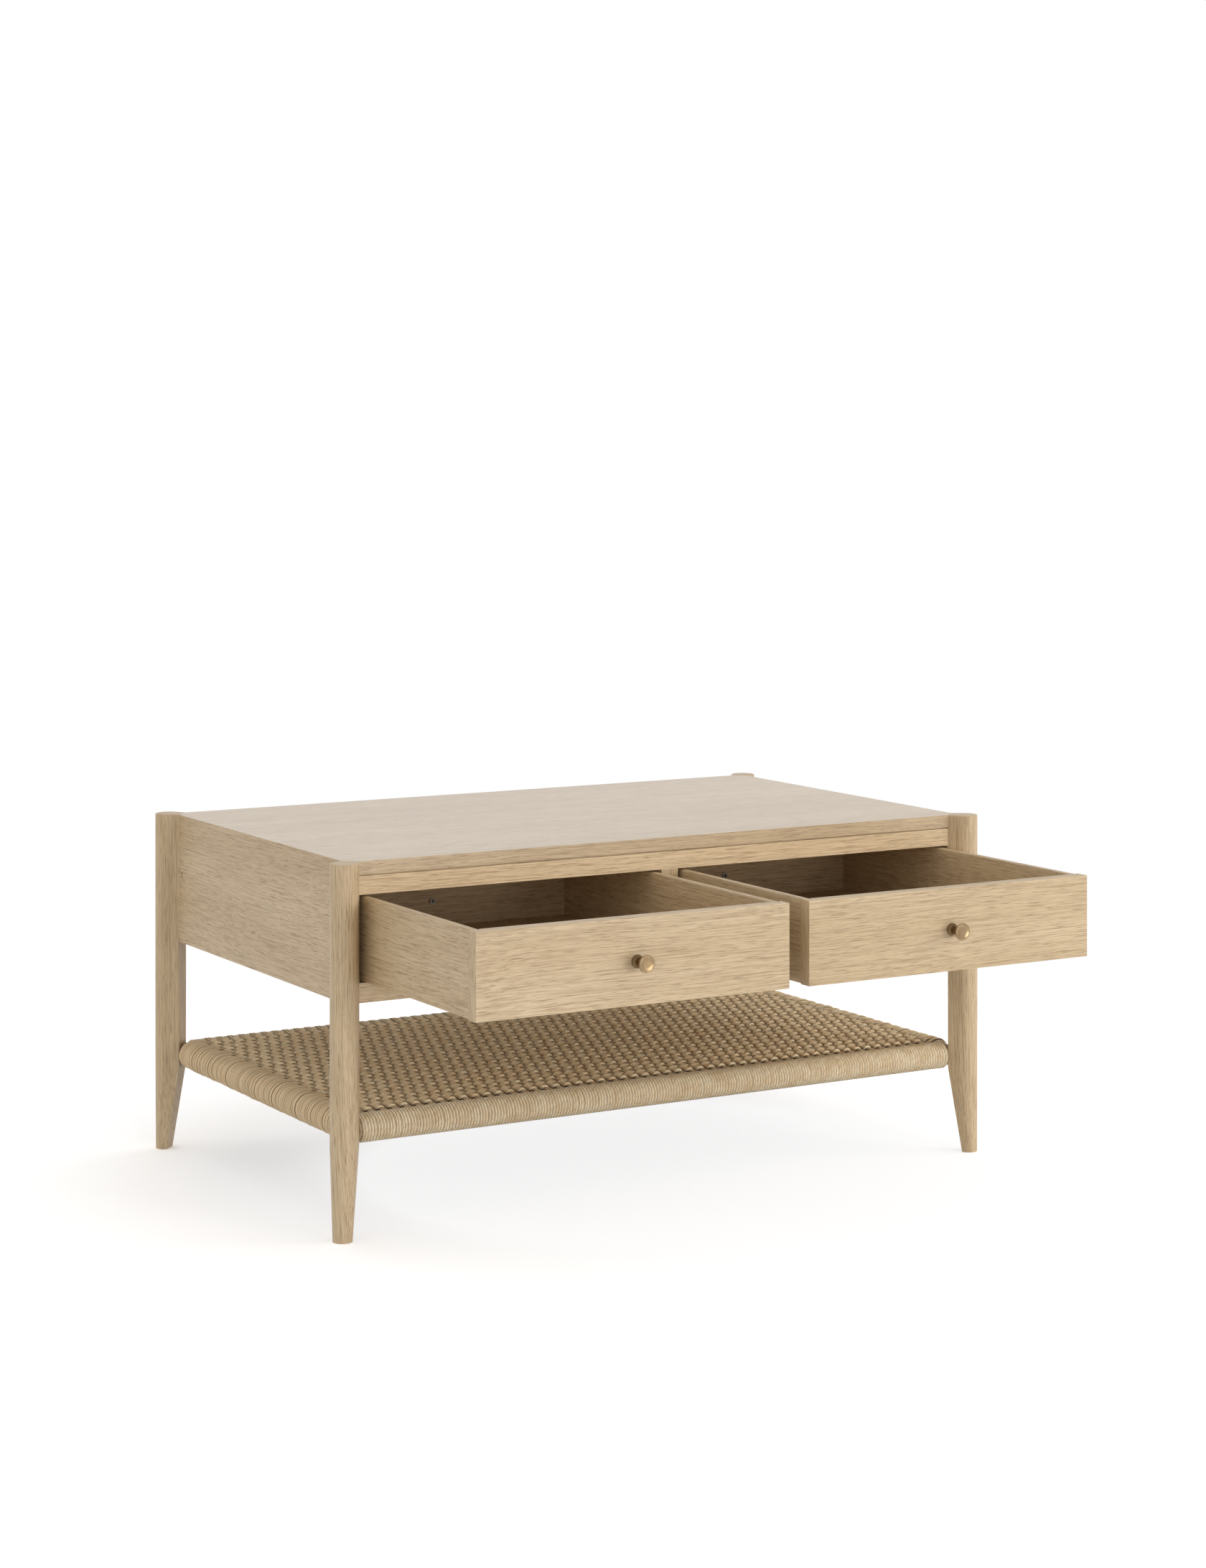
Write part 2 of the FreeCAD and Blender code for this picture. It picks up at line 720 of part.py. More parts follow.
# Drawer side: grooved for the bottom, upper edges rounded.
def make_drawer_side(label, x, y, turn):
    body = new_body(label)
    section = sketch_on(body, "XZ_Plane")
    half = d.drawer_side_thick / 2
    floor_of_groove = d.groove_depth - half
    outline(section, [
        (-half, 0), (half, 0), (half, drawer_height), (-half, drawer_height),
        (-half, groove_high), (floor_of_groove, groove_high),
        (floor_of_groove, groove_low), (-half, groove_low),
    ])
    length = drawer_length - (d.front_thick - d.housing_depth) * 2
    pad(body, section, length, "Symmetric")
    round_edges(body, lambda edge: at_level(edge, drawer_height) and runs_along_y(edge), d.side_edge_round)
    place(body, x, y, drawer_level, turn)


def runs_along_y(edge):
    first, last = (spot.Point for spot in edge.Vertexes)
    return abs(first.x - last.x) < SAME_PLACE


def make_drawer_bottom(label, x, y):
    board = doc.addObject("Part::Box", label)
    board.Label = label
    pieces.append(board)
    bind(board, "Length", floor_half_width * 2)
    bind(board, "Width", drawer_length - floor_reach * 2)
    bind(board, "Height", d.drawer_bottom_thick)
    place(board, x - floor_half_width, y + floor_reach, drawer_level + d.drawer_bottom_lift)


# Knob, turned about its Y axis and facing -Y: foot, waisted neck and a flat dished head with a rim.
def make_knob(label, x, y, turn):
    body = new_body(label)
    profile = sketch_on(body, "XY_Plane")
    bore_radius = (d.screw_diameter + d.bore_gap) / 2
    foot_radius = d.knob_foot_diameter / 2
    neck_radius = d.knob_neck_diameter / 2
    head_radius = d.knob_head_diameter / 2
    head_back = d.knob_projection - d.knob_head_thick
    flare = d.knob_neck_flare
    bevel = d.knob_edge_bevel
    outline(profile, [
        (bore_radius, 0), (foot_radius, 0),
        (foot_radius, bevel - d.knob_foot_thick), (foot_radius - bevel, -d.knob_foot_thick),
        (neck_radius + flare, -d.knob_foot_thick), (neck_radius, -d.knob_foot_thick - flare),
        (neck_radius, flare - head_back), (neck_radius + flare, -head_back),
        (head_radius - bevel, -head_back), (head_radius, -head_back - bevel),
        (head_radius, bevel - d.knob_projection), (head_radius - bevel, -d.knob_projection),
        (head_radius - d.knob_rim_width, -d.knob_projection), (0, d.knob_dish_depth - d.knob_projection),
        (0, -d.knob_bore_depth), (bore_radius, -d.knob_bore_depth),
    ])
    turned = body.newObject("PartDesign::Revolution", "Turning")
    turned.Profile = profile
    turned.ReferenceAxis = (profile, ["V_Axis"])
    turned.Angle = 360
    place(body, x, y, drawer_level + knob_level, turn)


# The screws of a drawer's knobs pass through the fronts from inside.
def make_knob_screws(label, x, front_y):
    level = drawer_level + knob_level
    length = d.front_thick + d.screw_bite
    rear_y = front_y + drawer_length
    group(label, [
        screw((x, front_y + d.front_thick, level), (0, -1, 0), length),
        screw((x, rear_y - d.front_thick, level), (0, 1, 0), length),
    ])


def make_drawer(name, side):
    x = drawer_x * side
    rear_y = drawer_y + drawer_length
    middle_y = drawer_y + drawer_length / 2
    side_middle = side_outer - d.drawer_side_thick / 2
    make_drawer_front(f"{name}_drawer_front", x, drawer_y, 0)
    make_drawer_front(f"{name}_drawer_rear_front", x, rear_y, 180)
    make_drawer_side(f"{name}_drawer_right_side", x + side_middle, middle_y, 0)
    make_drawer_side(f"{name}_drawer_left_side", x - side_middle, middle_y, 180)
    make_drawer_bottom(f"{name}_drawer_bottom", x, middle_y - drawer_length / 2)
    make_knob(f"{name}_front_knob", x, drawer_y, 0)
    make_knob(f"{name}_rear_knob", x, rear_y, 180)
    make_knob_screws(f"{name}_knob_screws", x, drawer_y)


# Dowels lie from their deep end in one piece to their seat in the other.
def make_dowels():
    leg_dowels = []
    rail_dowels = []
    for side_name, side in SIDES:
        for end_name, end in ENDS:
            outward = leg_direction(side, end)
            case_seats, shelf_seat = leg_dowel_seats(side, end)
            for seat in case_seats:
                start = moved(seat, outward, -d.leg_dowel_seat)
                leg_dowels.append(rod(start, outward, d.leg_dowel_diameter,
                                      d.leg_dowel_seat + d.leg_dowel_depth))
            start = moved(shelf_seat, outward, -d.leg_dowel_depth)
            leg_dowels.append(rod(start, outward, d.leg_dowel_diameter, d.leg_dowel_depth * 2))
            for seat in rail_dowel_seats(side, end):
                start = moved(seat, (-side, 0, 0), d.rail_dowel_depth)
                rail_dowels.append(rod(start, (side, 0, 0), d.rail_dowel_diameter,
                                       d.rail_dowel_depth + d.rail_dowel_seat))
    for end_name, end in ENDS:
        for seat, way in upright_dowel_seats(end):
            start = moved(seat, (0, 0, -way), d.rail_dowel_seat)
            rail_dowels.append(rod(start, (0, 0, way), d.rail_dowel_diameter,
                                   d.rail_dowel_depth + d.rail_dowel_seat))
    place(group("leg_dowels", leg_dowels), y=table_y)
    place(group("rail_dowels", rail_dowels), y=table_y)


def make_case_screws():
    sink = d.screw_sink + d.screw_head_height
    runner_x = inner_half_width - d.runner_width + sink
    runner_screws = []
    for name, side in SIDES:
        for seat in runner_screw_seats(side):
            runner_screws.append(screw((runner_x * side, seat[1], seat[2]), (side, 0, 0),
                                       d.runner_width - sink + d.screw_bite))
    top_screws = [
        screw((x, y, opening_top + sink), (0, 0, 1), kicker_height - sink + d.screw_bite)
        for x, y in top_screw_spots()
    ]
    place(group("runner_screws", runner_screws), y=table_y)
    place(group("top_screws", top_screws), y=table_y)


make_top()
for side_name, side_way in SIDES:
    make_side_panel(side_name, side_way)
    make_side_runner(side_name, side_way)
    make_side_kicker(side_name, side_way)
    make_shelf_rail(side_name, False, side_way)
    make_wrap(side_name, False, side_way)
    make_drawer(side_name, side_way)
for end_name, end_way in ENDS:
    make_top_rail(end_name, end_way)
    make_bottom_rail(end_name, end_way)
    make_shelf_rail(end_name, True, end_way)
    make_wrap(end_name, True, end_way)
    for side_name, side_way in SIDES:
        make_leg(f"{end_name}_{side_name}_leg", side_way, end_way)
make_upright()
make_centre_runner()
make_centre_kicker()
make_field()
make_dowels()
make_case_screws()
doc.recompute()

for item in doc.Objects:
    faults = [state for state in item.State if state in ("Invalid", "Error")]
    if faults:
        raise RuntimeError(f"{item.Label} failed: {item.State}")
for piece in pieces:
    if piece.Shape.isNull() or not piece.Shape.isValid():
        raise RuntimeError(f"{piece.Label} has no valid shape")

os.makedirs("parts", exist_ok=True)
for piece in pieces:
    piece.Shape.exportStep(f"parts/{piece.Label}.step")
print(f"{len(pieces)} pieces written")
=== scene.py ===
import math

import bmesh
import bpy
import numpy as np
from mathutils import Matrix, Vector


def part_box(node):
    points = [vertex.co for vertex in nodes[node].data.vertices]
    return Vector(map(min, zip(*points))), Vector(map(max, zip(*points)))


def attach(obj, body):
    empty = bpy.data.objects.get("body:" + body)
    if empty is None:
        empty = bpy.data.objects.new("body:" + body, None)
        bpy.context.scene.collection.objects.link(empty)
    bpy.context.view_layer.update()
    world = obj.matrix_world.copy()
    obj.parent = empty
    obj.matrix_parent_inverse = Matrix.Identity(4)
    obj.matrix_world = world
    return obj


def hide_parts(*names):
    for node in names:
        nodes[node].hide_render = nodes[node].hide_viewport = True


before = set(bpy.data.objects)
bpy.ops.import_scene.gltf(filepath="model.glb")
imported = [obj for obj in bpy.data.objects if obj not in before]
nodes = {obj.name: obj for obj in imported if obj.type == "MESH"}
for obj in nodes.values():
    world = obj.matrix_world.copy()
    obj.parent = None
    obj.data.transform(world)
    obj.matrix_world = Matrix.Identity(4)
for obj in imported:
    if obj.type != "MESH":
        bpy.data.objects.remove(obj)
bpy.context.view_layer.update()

perMetre = 1000
screenCurve = {"full": 255.0, "toe": 0.04045, "slope": 12.92, "offset": 0.055, "power": 2.4}


def tone(red, green, blue):
    # screen colour 0 to 255, as the linear colour that a shader takes
    shares = [c / screenCurve["full"] for c in (red, green, blue)]
    offset = screenCurve["offset"]
    linear = [c / screenCurve["slope"] if c <= screenCurve["toe"]
              else ((c + offset) / (1 + offset)) ** screenCurve["power"] for c in shares]
    return (*linear, 1.0)


def shaded(colour, share):
    return (colour[0] * share, colour[1] * share, colour[2] * share, 1.0)


def newMaterial(name):
    material = bpy.data.materials.new(name)
    material.use_nodes = True
    tree = material.node_tree
    tree.nodes.clear()
    output = tree.nodes.new("ShaderNodeOutputMaterial")
    shader = tree.nodes.new("ShaderNodeBsdfPrincipled")
    tree.links.new(shader.outputs["BSDF"], output.inputs["Surface"])
    return material, tree, shader


def addNode(tree, kind, inputs=None, **settings):
    node = tree.nodes.new(kind)
    for key, value in settings.items():
        setattr(node, key, value)
    for key, value in (inputs or {}).items():
        if isinstance(value, bpy.types.NodeSocket):
            tree.links.new(value, node.inputs[key])
        else:
            node.inputs[key].default_value = value
    return node


def mapped(tree, source, scale=(1, 1, 1), turn=(0, 0, 0), shift=(0, 0, 0)):
    inputs = {"Vector": source, "Location": shift, "Rotation": turn, "Scale": scale}
    return addNode(tree, "ShaderNodeMapping", inputs).outputs["Vector"]


def noise(tree, source, layer):
    inputs = {"Vector": source, "Scale": layer["scale"], "Detail": layer["detail"]}
    if "rough" in layer:
        inputs["Roughness"] = layer["rough"]
    return addNode(tree, "ShaderNodeTexNoise", inputs).outputs["Fac"]


def drawnNoise(tree, source, layer):
    return noise(tree, mapped(tree, source, layer["stretch"]), layer)


def span(tree, value, low, high, toLow=0.0, toHigh=1.0):
    inputs = {"Value": value, "From Min": low, "From Max": high, "To Min": toLow, "To Max": toHigh}
    return addNode(tree, "ShaderNodeMapRange", inputs).outputs["Result"]


def mathStep(tree, operation, first, second=0.0):
    return addNode(tree, "ShaderNodeMath", {0: first, 1: second}, operation=operation).outputs[0]


def vectorStep(tree, operation, first, second, output="Value"):
    return addNode(tree, "ShaderNodeVectorMath", {0: first, 1: second}, operation=operation).outputs[output]


def mixTone(tree, factor, first, second):
    return addNode(tree, "ShaderNodeMix", {0: factor, 6: first, 7: second}, data_type="RGBA").outputs[2]


def bumpFrom(tree, shader, height, distance, strength):
    bump = addNode(tree, "ShaderNodeBump", {"Height": height, "Distance": distance, "Strength": strength})
    tree.links.new(bump.outputs["Normal"], shader.inputs["Normal"])


# oak: broad tone, growth lines, short dark dashes and fine pores, all drawn out along a slightly wavy grain;
# a layer's band is the noise values where it sets in and is full
oak = {
    "pale": tone(205, 182, 147), "warm": tone(192, 167, 130),
    "dash": tone(138, 109, 75), "fleck": tone(100, 76, 50),
    "wave": {"stretch": (2.2, 7, 7), "scale": 1.0, "detail": 0.0}, "sway": 0.012,
    "broad": {"stretch": (1.6, 13, 13), "scale": 1.0, "detail": 3.0, "band": (0.33, 0.67)},
    "lines": {"stretch": (0.012, 1, 1), "scale": 640.0, "detail": 3.0, "band": (0.42, 0.68), "share": 0.42},
    "dashes": {"stretch": (0.026, 1, 1), "scale": 1150.0, "detail": 2.0, "band": (0.54, 0.68), "share": 0.6},
    "flecks": {"stretch": (0.03, 1, 1), "scale": 1500.0, "detail": 1.0, "band": (0.6, 0.74), "share": 0.6},
    "knotCore": 0.6, "knotShare": 0.85, "knotShade": 0.4,
    "relief": (0.3, 0.7), "roughSpread": (-0.05, 0.08), "coatRoughness": 0.32,
    "bumpDepth": 0.0003, "bumpStrength": 0.3,
    "seedShift": (0.37, 0.213, 0.151), "endFacing": 0.8,
    "along": {"x": (0, 0, 0), "y": (0, 0, math.radians(90)), "z": (0, math.radians(90), 0)},
    "axis": {"x": (1, 0, 0), "y": (0, 1, 0), "z": (0, 0, 1)},
}


def oakMaterial(name, grain, seed, roughness=0.44, shade=1.0, coat=0.0, knots=()):
    material, tree, shader = newMaterial(name)
    coord = addNode(tree, "ShaderNodeTexCoord")
    place = coord.outputs["Object"]
    shift = tuple(step * seed for step in oak["seedShift"])
    board = mapped(tree, place, turn=oak["along"][grain], shift=shift)
    if grain != "z":
        # an end of a lying board carries an upright strip
        facing = vectorStep(tree, "DOT_PRODUCT", coord.outputs["Normal"], oak["axis"][grain])
        isEnd = mathStep(tree, "GREATER_THAN", mathStep(tree, "ABSOLUTE", facing), oak["endFacing"])
        strip = mapped(tree, place, turn=oak["along"]["z"], shift=shift)
        board = addNode(tree, "ShaderNodeMix", {0: isEnd, 4: board, 5: strip}, data_type="VECTOR").outputs[1]
    wave = span(tree, drawnNoise(tree, board, oak["wave"]), 0.0, 1.0, -oak["sway"], oak["sway"])
    bend = addNode(tree, "ShaderNodeCombineXYZ", {1: wave, 2: wave}).outputs[0]
    board = vectorStep(tree, "ADD", board, bend, "Vector")
    broad, line, dash, fleck = (
        drawnNoise(tree, board, oak[layer]) for layer in ("broad", "lines", "dashes", "flecks"))
    pale, warm = shaded(oak["pale"], shade), shaded(oak["warm"], shade)
    colour = mixTone(tree, span(tree, broad, *oak["broad"]["band"]), pale, warm)
    for value, layer, dark in ((line, "lines", "dash"), (dash, "dashes", "dash"), (fleck, "flecks", "fleck")):
        factor = span(tree, value, *oak[layer]["band"], 0.0, oak[layer]["share"])
        colour = mixTone(tree, factor, colour, shaded(oak[dark], shade))
    for x, y, z, radius in knots:
        away = vectorStep(tree, "DISTANCE", place, (x, y, z))
        factor = span(tree, away, radius * oak["knotCore"], radius, oak["knotShare"], 0.0)
        colour = mixTone(tree, factor, colour, shaded(oak["fleck"], oak["knotShade"]))
    tree.links.new(colour, shader.inputs["Base Color"])
    smoother, rougher = (roughness + change for change in oak["roughSpread"])
    tree.links.new(span(tree, dash, *oak["relief"], smoother, rougher), shader.inputs["Roughness"])
    shader.inputs["Coat Weight"].default_value = coat
    shader.inputs["Coat Roughness"].default_value = oak["coatRoughness"]
    height = mathStep(tree, "SUBTRACT", span(tree, line, *oak["relief"]), dash)
    bumpFrom(tree, shader, height, oak["bumpDepth"], oak["bumpStrength"])
    return material


def dress(node, material):
    for slot in nodes[node].material_slots:
        slot.material = material


# pin knots of the left side, in millimetres: across, up, radius
pinKnots = {
    "face": -452.8,
    "spots": [(404, 390.5, 1.9), (391, 387, 1.3), (399, 376, 1.7), (376, 379, 1.5), (389, 372, 2.1),
              (390, 368.5, 1.7), (382, 362.5, 1.4)],
}
# boards by grain direction, each with an oak of its own; the top board is lacquered smoother
oakBoards = {
    "x": ["top_panel", "front_top_rail", "rear_top_rail", "front_bottom_rail", "rear_bottom_rail"],
    "y": ["left_side_panel", "right_side_panel"],
    "z": ["centre_upright", "front_left_leg", "front_right_leg", "rear_left_leg", "rear_right_leg"],
}
boardFinish = {
    "top_panel": {"roughness": 0.36, "coat": 0.56},
    "front_top_rail": {"shade": 1.2},
    "front_bottom_rail": {"shade": 1.12},
    "left_side_panel": {
        "knots": [[size / perMetre for size in (pinKnots["face"], *spot)] for spot in pinKnots["spots"]]},
}
drawerFronts = [side + "_drawer_" + end for side in ("left", "right") for end in ("front", "rear_front")]
seed = 1
for grain, boards in (*oakBoards.items(), ("x", drawerFronts)):
    for board in boards:
        dress(board, oakMaterial(board + "_oak", grain, seed, **boardFinish.get(board, {})))
        seed += 1
# pieces that share an oak
sharedOak = {
    "innerOak": {
        "finish": {"grain": "y", "seed": 31, "roughness": 0.55, "shade": 0.85},
        "boards": ["left_runner", "right_runner", "centre_runner", "left_kicker", "right_kicker", "centre_kicker",
                   "leg_dowels", "rail_dowels"],
    },
    "shelfRodLong": {
        "finish": {"grain": "x", "seed": 37, "roughness": 0.5, "shade": 0.75},
        "boards": ["front_shelf_rail", "rear_shelf_rail"],
    },
    "shelfRodShort": {
        "finish": {"grain": "y", "seed": 41, "roughness": 0.5, "shade": 0.75},
        "boards": ["left_shelf_rail", "right_shelf_rail"],
    },
    "drawerSideOak": {
        "finish": {"grain": "y", "seed": 47, "roughness": 0.5, "shade": 1.0},
        "boards": [side + "_drawer_" + hand + "_side" for side in ("left", "right") for hand in ("left", "right")],
    },
    "drawerFloorOak": {
        "finish": {"grain": "y", "seed": 53, "roughness": 0.5, "shade": 1.1},
        "boards": ["left_drawer_bottom", "right_drawer_bottom"],
    },
}
for name, shared in sharedOak.items():
    material = oakMaterial(name, **shared["finish"])
    for board in shared["boards"]:
        dress(board, material)
print("oak:", seed - 1, "boards")

# satin brass of the knobs, with painted shade under the head, steel of the screws
metals = {
    "brass": {"colour": tone(164, 140, 108), "dull": tone(126, 102, 72), "foot": tone(92, 70, 44), "roughness": 0.28},
    "steel": {"colour": tone(168, 165, 158), "dull": tone(104, 101, 96), "roughness": 0.4},
    "patina": {"scale": 90.0, "detail": 4.0, "rough": 0.6, "band": (0.35, 0.75), "share": 0.7},
    "brush": {"stretch": (1, 0.1, 1), "scale": 2600.0, "detail": 1.0, "depth": 0.00003, "strength": 0.3},
    "roughBand": (0.3, 0.75), "roughSpread": (-0.06, 0.14), "footBand": (0.5, 0.85), "footShare": 0.8,
}
# the driver's cross on the screw heads, painted dark as the shade in its recess
crossRecessShade = {
    "x": 0.2238, "z": 0.35625, "half": 0.00055, "halfFade": 1.3, "reach": 0.0024, "reachFade": 1.1,
    "dark": tone(22, 21, 20),
}


def metalMaterial(name, finish, cross=False, turned=False):
    material, tree, shader = newMaterial(name)
    place = addNode(tree, "ShaderNodeTexCoord").outputs["Object"]
    patina = noise(tree, place, metals["patina"])
    brushed = drawnNoise(tree, place, metals["brush"])
    worn = span(tree, patina, *metals["patina"]["band"], 0.0, metals["patina"]["share"])
    colour = mixTone(tree, worn, finish["colour"], finish["dull"])
    if turned:
        # painted shade: darker towards the seat, under the head, where less light reaches
        lift = addNode(tree, "ShaderNodeAttribute", attribute_name="lift").outputs["Fac"]
        factor = span(tree, lift, *metals["footBand"], metals["footShare"], 0.0)
        colour = mixTone(tree, factor, colour, finish["foot"])
    if cross:
        # the driver's cross in the middle of the head, painted dark as the shade in its recess
        part = addNode(tree, "ShaderNodeSeparateXYZ", {0: place})
        across = mathStep(tree, "SUBTRACT", mathStep(tree, "ABSOLUTE", part.outputs["X"]), crossRecessShade["x"])
        upward = mathStep(tree, "SUBTRACT", part.outputs["Z"], crossRecessShade["z"])
        offsets = mathStep(tree, "ABSOLUTE", across), mathStep(tree, "ABSOLUTE", upward)
        half, reach = crossRecessShade["half"], crossRecessShade["reach"]
        arm = span(tree, mathStep(tree, "MINIMUM", *offsets), half, half * crossRecessShade["halfFade"], 1.0, 0.0)
        inner = span(tree, mathStep(tree, "MAXIMUM", *offsets), reach, reach * crossRecessShade["reachFade"], 1.0, 0.0)
        colour = mixTone(tree, mathStep(tree, "MULTIPLY", arm, inner), colour, crossRecessShade["dark"])
    tree.links.new(colour, shader.inputs["Base Color"])
    shader.inputs["Metallic"].default_value = 1.0
    smoother, rougher = (finish["roughness"] + change for change in metals["roughSpread"])
    tree.links.new(span(tree, patina, *metals["roughBand"], smoother, rougher), shader.inputs["Roughness"])
    bumpFrom(tree, shader, brushed, metals["brush"]["depth"], metals["brush"]["strength"])
    return material


brass = metalMaterial("satinBrass", metals["brass"], turned=True)
steel = metalMaterial("screwSteel", metals["steel"])
crossSteel = metalMaterial("crossHeadSteel", metals["steel"], cross=True)
for side in ("left", "right"):
    dress(side + "_knob_screws", crossSteel)
dress("runner_screws", steel)
dress("top_screws", steel)


def finished(name, bm, material):
    mesh = bpy.data.meshes.new(name)
    bm.to_mesh(mesh)
    bm.free()
    mesh.materials.append(material)
    mesh.polygons.foreach_set("use_smooth", [True] * len(mesh.polygons))
    piece = bpy.data.objects.new(name, mesh)
    bpy.context.scene.collection.objects.link(piece)
    return piece


# turned knobs: radius and height above the seat, in millimetres
knob = {
    "turn": [(0, 0), (7.5, 0), (7.7, 0.3), (7.7, 1.3), (7.3, 1.9), (6.2, 2.4), (5.0, 3.4), (4.5, 5.0),
             (4.4, 13.0), (4.6, 15.4), (5.4, 17.2), (7.2, 18.6), (9.3, 19.5), (10.2, 20.1), (10.5, 20.9),
             (10.5, 21.5), (10.2, 22.4), (9.5, 22.9), (8.9, 23.0), (8.2, 22.8), (7.4, 22.5), (4.0, 22.3), (0, 22.2)],
    "steps": 48, "height": 23.0, "weld": 0.00001,
}


def turnedKnob(name, node, body, outward):
    low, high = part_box(node)
    middle = (low + high) / 2
    seat = high.y if outward < 0 else low.y
    bm = bmesh.new()
    rim = [bm.verts.new((middle.x + radius / perMetre, seat + outward * height / perMetre, middle.z))
           for radius, height in knob["turn"]]
    for first, second in zip(rim, rim[1:]):
        bm.edges.new((first, second))
    bmesh.ops.spin(bm, geom=bm.verts[:] + bm.edges[:], cent=middle, axis=(0, 1, 0), angle=math.tau,
                   steps=knob["steps"], use_merge=True)
    bmesh.ops.remove_doubles(bm, verts=bm.verts[:], dist=knob["weld"])
    bmesh.ops.recalc_face_normals(bm, faces=bm.faces[:])
    piece = finished(name, bm, brass)
    # the height above the seat, which sets the painted shade of the brass
    lift = piece.data.attributes.new("lift", "FLOAT", "POINT")
    heights = [abs(vertex.co.y - seat) * perMetre / knob["height"] for vertex in piece.data.vertices]
    lift.data.foreach_set("value", heights)
    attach(piece, body)
    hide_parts(node)


for side in ("left", "right"):
    turnedKnob(side + "FrontKnob", side + "_front_knob", side + "_drawer", -1)
    turnedKnob(side + "RearKnob", side + "_rear_knob", side + "_drawer", 1)
print("metals: four turned knobs, steel screws")

# two-ply paper cord: tones of the windings and of the field, painted shade in its hollows, between neighbours and
# over the left rail, and its sizes
cord = {
    "light": tone(255, 240, 211), "deep": tone(242, 220, 184),
    "fieldLight": tone(255, 236, 198), "fieldDeep": tone(246, 216, 172),
    "leftShadeTone": tone(214, 184, 144), "groove": tone(112, 86, 56), "slitShade": tone(80, 56, 34),
    "patches": {"scale": 70.0, "detail": 3.0, "band": (0.35, 0.68)},
    "fibre": {"scale": 1500.0, "detail": 2.0, "band": (0.55, 0.8), "share": 0.3},
    "plyBand": (0.0, 0.35), "plyShadeShare": 0.25, "fieldPlyShadeShare": 0.5,
    "depth": (0.1422, 0.1452), "depthShadeShare": 0.95, "between": (0.0004, 0.0011), "betweenShadeShare": 0.9,
    "edge": (0.414, 0.424), "rearEdge": (0.386, 0.398), "leftEdge": (-0.424, -0.414), "leftShadeShare": 0.5,
    "railFlank": (0.5, 0.95), "windingFlank": (0.86, 1.0), "flankShadeShare": 0.8,
    "roughBand": (0.3, 0.7), "roughness": (0.7, 0.85), "specular": 0.15,
    "fibreHeight": 0.2, "bumpDepth": 0.0005, "bumpStrength": 0.4,
    "pitch": 0.0040833, "sidePitch": 0.00415, "width": 0.0035, "thick": 0.0038, "lay": 0.0094, "sides": 8,
}


def cordMaterial(name, sunk=False, pairs=None):
    material, tree, shader = newMaterial(name)
    coord = addNode(tree, "ShaderNodeTexCoord")
    run = addNode(tree, "ShaderNodeSeparateXYZ", {0: coord.outputs["UV"]})
    turn = mathStep(tree, "ADD", run.outputs["X"], run.outputs["Y"])
    ply = mathStep(tree, "ABSOLUTE", mathStep(tree, "SINE", mathStep(tree, "MULTIPLY", turn, math.pi)))
    patches = noise(tree, coord.outputs["Object"], cord["patches"])
    fibre = noise(tree, coord.outputs["Object"], cord["fibre"])
    light, deep = cord["fieldLight" if sunk else "light"], cord["fieldDeep" if sunk else "deep"]
    colour = mixTone(tree, span(tree, patches, *cord["patches"]["band"]), light, deep)
    colour = mixTone(tree, span(tree, fibre, *cord["fibre"]["band"], 0.0, cord["fibre"]["share"]), colour, deep)
    # painted shade in the hollow between the two plies of the twist
    plyShadeShare = cord["fieldPlyShadeShare" if sunk else "plyShadeShare"]
    colour = mixTone(tree, span(tree, ply, *cord["plyBand"], plyShadeShare, 0.0), colour, cord["groove"])
    if sunk:
        # painted shade: darker in the depth of the field, inside the rails, and between the two cords of a pair
        where = addNode(tree, "ShaderNodeSeparateXYZ", {0: coord.outputs["Object"]})
        low = span(tree, where.outputs["Z"], *cord["depth"], cord["depthShadeShare"], 0.0)
        if pairs:
            off = mathStep(tree, "PINGPONG", mathStep(tree, "SUBTRACT", where.outputs["X"], pairs[0]), pairs[1] / 2)
            low = mathStep(tree, "MAXIMUM", low, span(tree, off, *cord["between"], cord["betweenShadeShare"], 0.0))
        inside = span(tree, mathStep(tree, "ABSOLUTE", where.outputs["X"]), *cord["edge"], 1.0, 0.0)
        inside = mathStep(tree, "MULTIPLY", inside, span(tree, where.outputs["Y"], *cord["rearEdge"], 1.0, 0.0))
        colour = mixTone(tree, mathStep(tree, "MULTIPLY", low, inside), colour, cord["slitShade"])
        # painted shade: the cords over the left rail are darker, as on the side away from the lamps
        leftShade = span(tree, where.outputs["X"], *cord["leftEdge"], cord["leftShadeShare"], 0.0)
        colour = mixTone(tree, leftShade, colour, cord["leftShadeTone"])
        # painted shade: darker between neighbours on the rails
        normal = addNode(tree, "ShaderNodeSeparateXYZ", {0: coord.outputs["Normal"]})
        facing = mathStep(tree, "ABSOLUTE", normal.outputs["X" if pairs else "Y"])
        flankShade = span(tree, facing, *cord["railFlank"], 0.0, cord["flankShadeShare"])
        flankShade = mathStep(tree, "MULTIPLY", flankShade, span(tree, inside, 0.0, 1.0, 1.0, 0.0))
    else:
        # painted shade: darker where neighbouring turns touch
        sideways = mathStep(tree, "COSINE", mathStep(tree, "MULTIPLY", run.outputs["Y"], math.tau))
        flankShade = span(tree, mathStep(tree, "ABSOLUTE", sideways), *cord["windingFlank"], 0.0, cord["flankShadeShare"])
    colour = mixTone(tree, flankShade, colour, cord["slitShade"])
    tree.links.new(colour, shader.inputs["Base Color"])
    tree.links.new(span(tree, fibre, *cord["roughBand"], *cord["roughness"]), shader.inputs["Roughness"])
    shader.inputs["Specular IOR Level"].default_value = cord["specular"]
    height = mathStep(tree, "ADD", ply, mathStep(tree, "MULTIPLY", fibre, cord["fibreHeight"]))
    bumpFrom(tree, shader, height, cord["bumpDepth"], cord["bumpStrength"])
    return material


